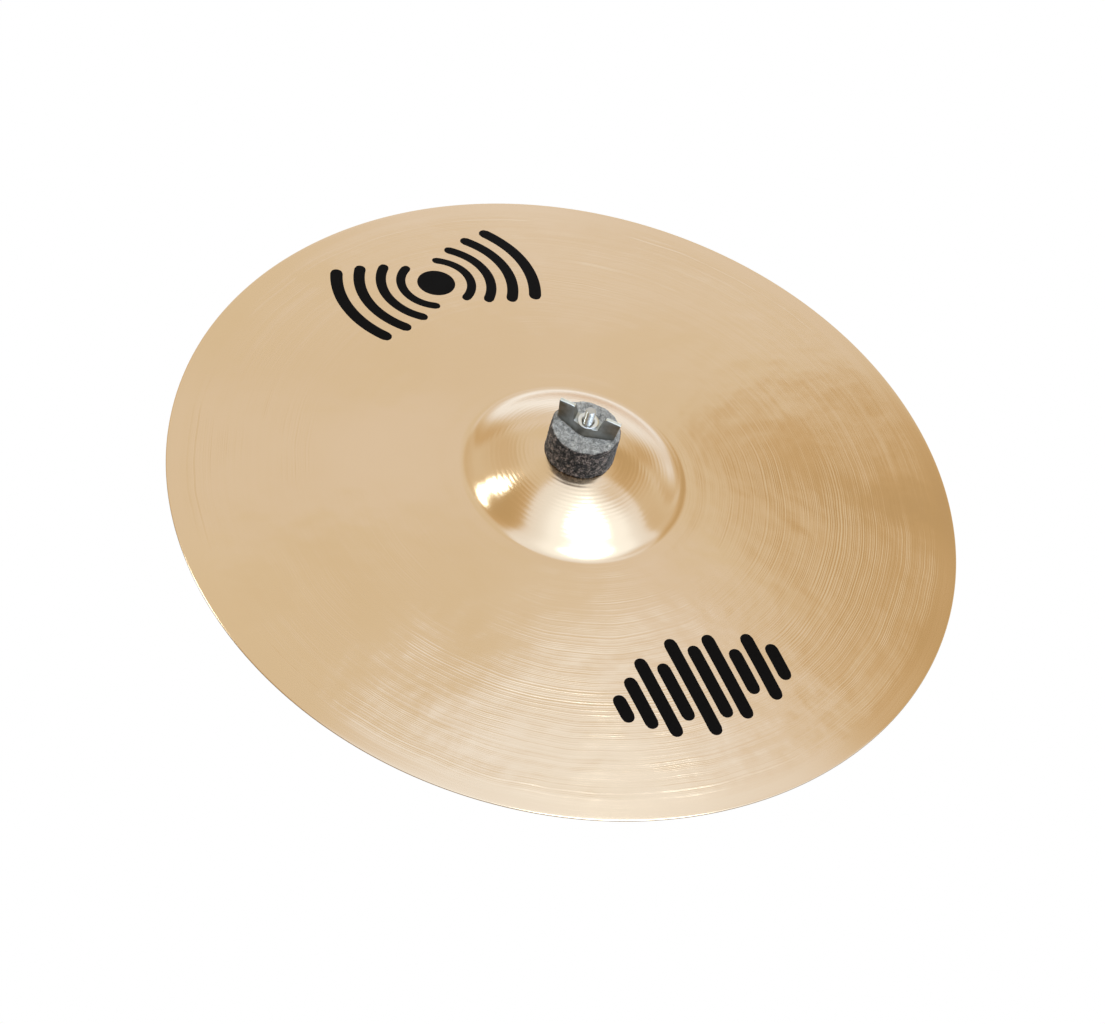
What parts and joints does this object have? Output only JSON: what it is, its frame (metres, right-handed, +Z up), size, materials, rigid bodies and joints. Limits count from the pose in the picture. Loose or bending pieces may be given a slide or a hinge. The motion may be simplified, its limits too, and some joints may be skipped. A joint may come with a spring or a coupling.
{
  "type": "crash cymbal",
  "caption": "Thin lathed bronze crash cymbal held between felts by a wing nut on the threaded rod of a tilting stand head.",
  "frame": {"origin": "centre of the flat lower end face of the tilter's stem, where a stand's tube takes it", "axes": "+Z up along the stem and, at rest, along the cymbal's own axis; +Y along the tilter's pivot towards its wing nut; +X completes the frame and is the way the cymbal tips"},
  "size_m": [0.4572, 0.4572, 0.1899],
  "materials": {
    "cymbal": "polished, lathed in fine concentric grooves",
    "felt": "pressed wool felt, flecked grey",
    "sleeve": "black nylon",
    "nut_nickel": "dull nickel-plated casting",
    "rod_steel": "bright zinc-plated, threaded",
    "washer_steel": "bright plated",
    "casting": "satin chrome on a zinc casting",
    "stem_steel": "bright chrome",
    "fibre": "red-brown friction fibre"
  },
  "bodies": {
    "tilter_base": {"tilter_base": "casting", "stem": "stem_steel", "stem_pin": "rod_steel", "pivot_bolt": "rod_steel"},
    "tilter_head": {"tilter_head": "casting", "rod_pin": "rod_steel", "cymbal_rod": "rod_steel", "seat_nut": "rod_steel", "seat_washer": "washer_steel", "friction_disc_front": "fibre", "friction_disc_rear": "fibre"},
    "felt_stack": {"sleeve": "sleeve", "lower_felt": "felt", "upper_felt": "felt"},
    "cymbal": {"cymbal": "cymbal"},
    "wing_nut": {"wing_nut": "nut_nickel"},
    "pivot_washers": {"spring_washer": "washer_steel", "pivot_washer": "washer_steel"},
    "pivot_wing_nut": {"pivot_wing_nut": "nut_nickel"}
  },
  "joints": [
    {"name": "tilt", "type": "hinge", "parent": "tilter_base", "child": "tilter_head", "pos_m": [0, 0, 0.094], "axis": [0, 1, 0], "range_deg": [-90, 90]},
    {"name": "cymbal_spin", "type": "hinge", "parent": "tilter_head", "child": "felt_stack", "pos_m": [0, 0, 0.15], "axis": [0, 0, 1], "continuous": true},
    {"name": "cymbal_sway", "type": "hinge", "parent": "felt_stack", "child": "cymbal", "pos_m": [0, 0, 0.1554], "axis": [1, 0, 0], "range_deg": [-10, 10], "stiffness_Nm_per_rad": 6, "deforming": ["upper_felt", "lower_felt"]},
    {"name": "wing_nut_turn", "type": "hinge", "parent": "tilter_head", "child": "wing_nut", "pos_m": [0, 0, 0.18], "axis": [0, 0, 1], "range_deg": [0, 810]},
    {"name": "pivot_washer_slide", "type": "slide", "parent": "tilter_base", "child": "pivot_washers", "axis": [0, 1, 0], "range_m": [0, 0.003]},
    {"name": "pivot_nut_turn", "type": "hinge", "parent": "pivot_washers", "child": "pivot_wing_nut", "pos_m": [0, 0.02, 0.094], "axis": [0, 1, 0], "range_deg": [0, 1080]}
  ],
  "couplings": [
    {"joint": "pivot_nut_turn", "follows": "pivot_washer_slide", "rad_per_m": 6283.2}
  ]
}
